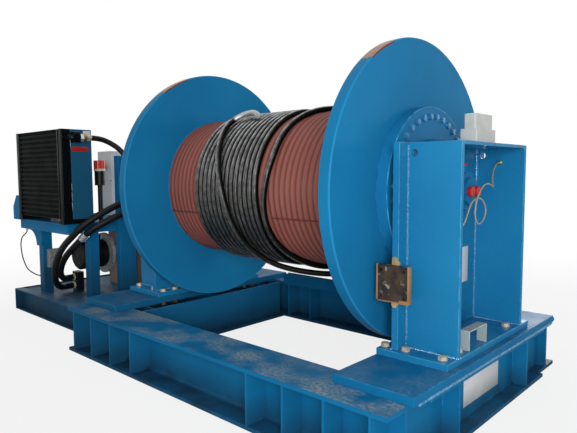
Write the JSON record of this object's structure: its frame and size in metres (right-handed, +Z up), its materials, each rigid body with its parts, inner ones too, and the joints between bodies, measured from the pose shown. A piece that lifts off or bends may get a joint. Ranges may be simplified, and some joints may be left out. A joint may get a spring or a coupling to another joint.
{
  "type": "personnel winch",
  "caption": "Hydraulic drum winch on a welded skid: wide-flanged rope drum between box pedestals, planetary drive in the drum, and a power unit with oil cooler beside it.",
  "frame": {"origin": "on the floor, in the middle of the four foundation holes, under the middle of the drum", "axes": "+X along the drum axis to the drive side, +Y to the rear, +Z up"},
  "size_m": [5.0314, 2.334, 2.32],
  "materials": {
    "blue_paint": "gloss enamel",
    "barrel_primer": "matt red-brown primer",
    "wire_rope": "greased",
    "bolt_steel": "dull zinc",
    "machined_steel": "machined",
    "rusty_steel": "bare, lightly rusted",
    "black_paint": "satin",
    "grey_paint": "satin",
    "grey_plastic": "matt",
    "red_plastic": "moulded",
    "hose_rubber": "wrapped",
    "cable_black": "extruded",
    "cable_beige": "extruded",
    "tank_steel": "matt brown primer",
    "aluminium": "cast"
  },
  "bodies": {
    "skid": {"front_beam": "blue_paint", "rear_beam": "blue_paint", "drive_cross_girder": "blue_paint", "idle_cross_girder": "blue_paint", "deck_plates": "blue_paint", "pedestal_base_plates": "blue_paint", "drive_bearing_plate": "blue_paint", "idle_bearing_plate": "blue_paint", "pedestal_side_plates": "blue_paint", "pedestal_top_plates": "blue_paint", "base_bolts": "bolt_steel", "gearbox_spindle": "blue_paint", "drum_bearings": "machined_steel", "bearing_housing": "blue_paint", "bearing_cap": "blue_paint", "parking_brake": "blue_paint", "hydraulic_motor": "blue_paint", "motor_port_caps": "red_plastic", "caliper_pad": "rusty_steel", "junction_box": "grey_plastic", "hose_guard": "blue_paint", "pipe_duct": "blue_paint", "power_frame": "blue_paint", "stand_frame": "blue_paint", "shelf_plate": "blue_paint", "cooler_core": "black_paint", "cooler_end_tanks": "black_paint", "cooler_shroud": "blue_paint", "fan_motor": "black_paint", "fan_guard": "black_paint", "electric_motor": "black_paint", "motor_cowl": "black_paint", "bell_housing": "aluminium", "pump": "black_paint", "oil_reservoir": "tank_steel", "return_filter": "black_paint", "filter_cap": "red_plastic", "control_panel": "grey_paint", "hose_fittings": "bolt_steel", "pressure_hose": "hose_rubber", "return_hose": "hose_rubber", "cooler_hose": "hose_rubber", "motor_cable": "cable_black", "sensor_cable": "cable_beige"},
    "drum": {"drum_barrel": "barrel_primer", "idle_flange": "blue_paint", "drive_flange": "blue_paint", "gearbox_hub": "blue_paint", "ring_gear": "machined_steel", "hub_bolts": "bolt_steel", "stub_shaft": "machined_steel", "wire_rope": "wire_rope", "rope_clamp": "bolt_steel"},
    "sun": {"sun_gear": "machined_steel"},
    "planet_1": {"planet_gear_1": "machined_steel"},
    "planet_2": {"planet_gear_2": "machined_steel"},
    "planet_3": {"planet_gear_3": "machined_steel"},
    "fan": {"cooler_fan": "black_paint"},
    "door": {"panel_door": "grey_paint"},
    "knob": {"isolator_knob": "grey_plastic"}
  },
  "joints": [
    {"name": "drum_spin", "type": "hinge", "parent": "skid", "child": "drum", "pos_m": [0, 0, 1.35], "axis": [1, 0, 0], "continuous": true},
    {"name": "sun_spin", "type": "hinge", "parent": "skid", "child": "sun", "pos_m": [0, 0, 1.35], "axis": [1, 0, 0], "continuous": true},
    {"name": "planet_1_spin", "type": "hinge", "parent": "skid", "child": "planet_1", "pos_m": [0.8, 0, 1.539], "axis": [1, 0, 0], "continuous": true},
    {"name": "planet_2_spin", "type": "hinge", "parent": "skid", "child": "planet_2", "pos_m": [0.8, -0.16368, 1.2555], "axis": [1, 0, 0], "continuous": true},
    {"name": "planet_3_spin", "type": "hinge", "parent": "skid", "child": "planet_3", "pos_m": [0.8, 0.16368, 1.2555], "axis": [1, 0, 0], "continuous": true},
    {"name": "fan_spin", "type": "hinge", "parent": "skid", "child": "fan", "pos_m": [-2.721, -0.6, 1.4575], "axis": [0, 1, 0], "continuous": true},
    {"name": "panel_door_swing", "type": "hinge", "parent": "skid", "child": "door", "pos_m": [-3.019, -0.068, 1.4], "axis": [0, 0, -1], "range_deg": [0, 110]},
    {"name": "isolator_turn", "type": "hinge", "parent": "door", "child": "knob", "pos_m": [-2.863, -0.07, 1.56], "axis": [0, -1, 0], "range_deg": [0, 90]}
  ],
  "couplings": [
    {"joint": "sun_spin", "follows": "drum_spin", "ratio": -3.5},
    {"joint": "planet_1_spin", "follows": "drum_spin", "ratio": 2.8},
    {"joint": "planet_2_spin", "follows": "drum_spin", "ratio": 2.8},
    {"joint": "planet_3_spin", "follows": "drum_spin", "ratio": 2.8}
  ]
}
